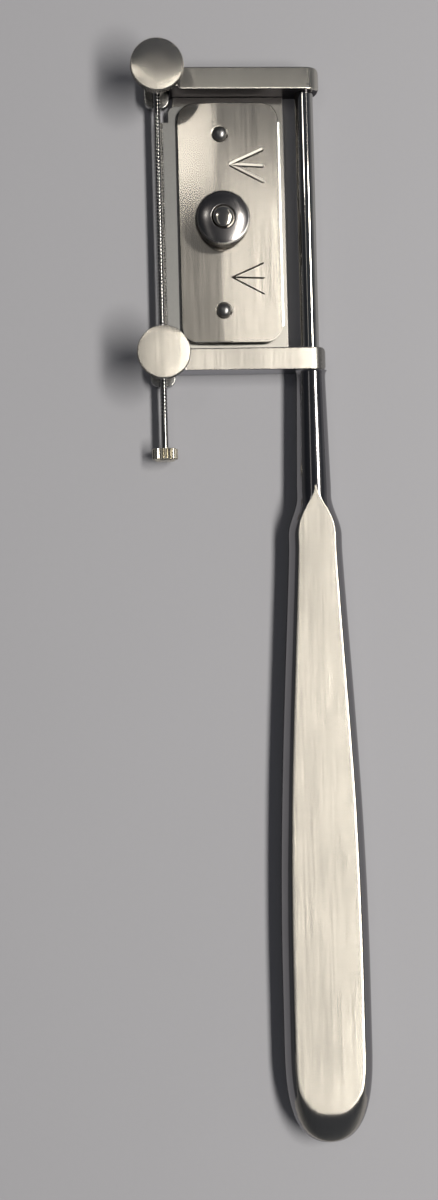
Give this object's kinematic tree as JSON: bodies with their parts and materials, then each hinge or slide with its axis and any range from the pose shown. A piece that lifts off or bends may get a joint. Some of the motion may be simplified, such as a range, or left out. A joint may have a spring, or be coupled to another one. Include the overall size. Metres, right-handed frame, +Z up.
{
  "type": "skin grafting knife",
  "caption": "Hand knife that holds a double-edged razor blade under an arched clamp plate, with a screw-adjusted roller above the edge that sets the graft thickness.",
  "frame": {"origin": "middle of the knife's box, at the surface that it lies on", "axes": "+Y from the handle to the head, +Z up to the disc heads, so the roller is on the -X side"},
  "size_m": [0.0394, 0.1965, 0.0116],
  "materials": {
    "handle_steel": "satin-brushed flats with polished rounded sides",
    "rod_steel": "bright polished",
    "arm_steel": "satin, brushed along the arm, polished edges",
    "bed_steel": "satin",
    "plate_steel": "brushed lengthwise",
    "blade_steel": "matt ground, bright honed edges",
    "pin_steel": "dark smooth dome",
    "nut_steel": "polished dome over a knurled rim",
    "screw_steel": "faces brushed, rim straight-knurled",
    "block_steel": "turned, satin",
    "roller_steel": "polished, with a fine spiral",
    "knob_steel": "coarse teeth, satin"
  },
  "bodies": {
    "frame": {"handle": "handle_steel", "frame_rod": "rod_steel", "lower_arm": "arm_steel", "upper_arm": "arm_steel", "bed_plate": "bed_steel", "clamp_stud": "nut_steel", "locating_pins": "pin_steel", "razor_blade": "blade_steel"},
    "clamp": {"clamp_plate": "plate_steel"},
    "nut": {"clamp_nut": "nut_steel"},
    "roller_carriage": {"lower_bearing_block": "block_steel", "upper_bearing_block": "block_steel", "lower_bearing_cap": "block_steel", "upper_bearing_cap": "block_steel"},
    "lower_screw": {"lower_adjusting_screw": "screw_steel"},
    "upper_screw": {"upper_adjusting_screw": "screw_steel"},
    "roller": {"roller_rod": "roller_steel", "roller_knob": "knob_steel"}
  },
  "joints": [
    {"name": "clamp_lift", "type": "slide", "parent": "frame", "child": "clamp", "axis": [0, 0, 1], "range_m": [0, 0.0035]},
    {"name": "nut_turn", "type": "hinge", "parent": "clamp", "child": "nut", "pos_m": [-0.00369, 0.06772, 0.00327], "axis": [0, 0, 1], "range_deg": [-1, 1801]},
    {"name": "roller_height", "type": "slide", "parent": "frame", "child": "roller_carriage", "axis": [0, 0, 1], "range_m": [-0.0003, 0.0007]},
    {"name": "upper_screw_turn", "type": "hinge", "parent": "roller_carriage", "child": "upper_screw", "pos_m": [-0.01499, 0.09352, 0.00266], "axis": [0, 0, 1], "range_deg": [-271, 631]},
    {"name": "lower_screw_turn", "type": "hinge", "parent": "roller_carriage", "child": "lower_screw", "pos_m": [-0.01499, 0.04292, 0.00266], "axis": [0, 0, 1], "range_deg": [-271, 631]},
    {"name": "roller_spin", "type": "hinge", "parent": "roller_carriage", "child": "roller", "pos_m": [-0.01499, 0.06772, 0.00266], "axis": [0, 1, 0], "continuous": true}
  ],
  "couplings": [
    {"joint": "nut_turn", "follows": "clamp_lift", "rad_per_m": 8976},
    {"joint": "upper_screw_turn", "follows": "roller_height", "rad_per_m": 15708},
    {"joint": "lower_screw_turn", "follows": "roller_height", "rad_per_m": 15708}
  ]
}
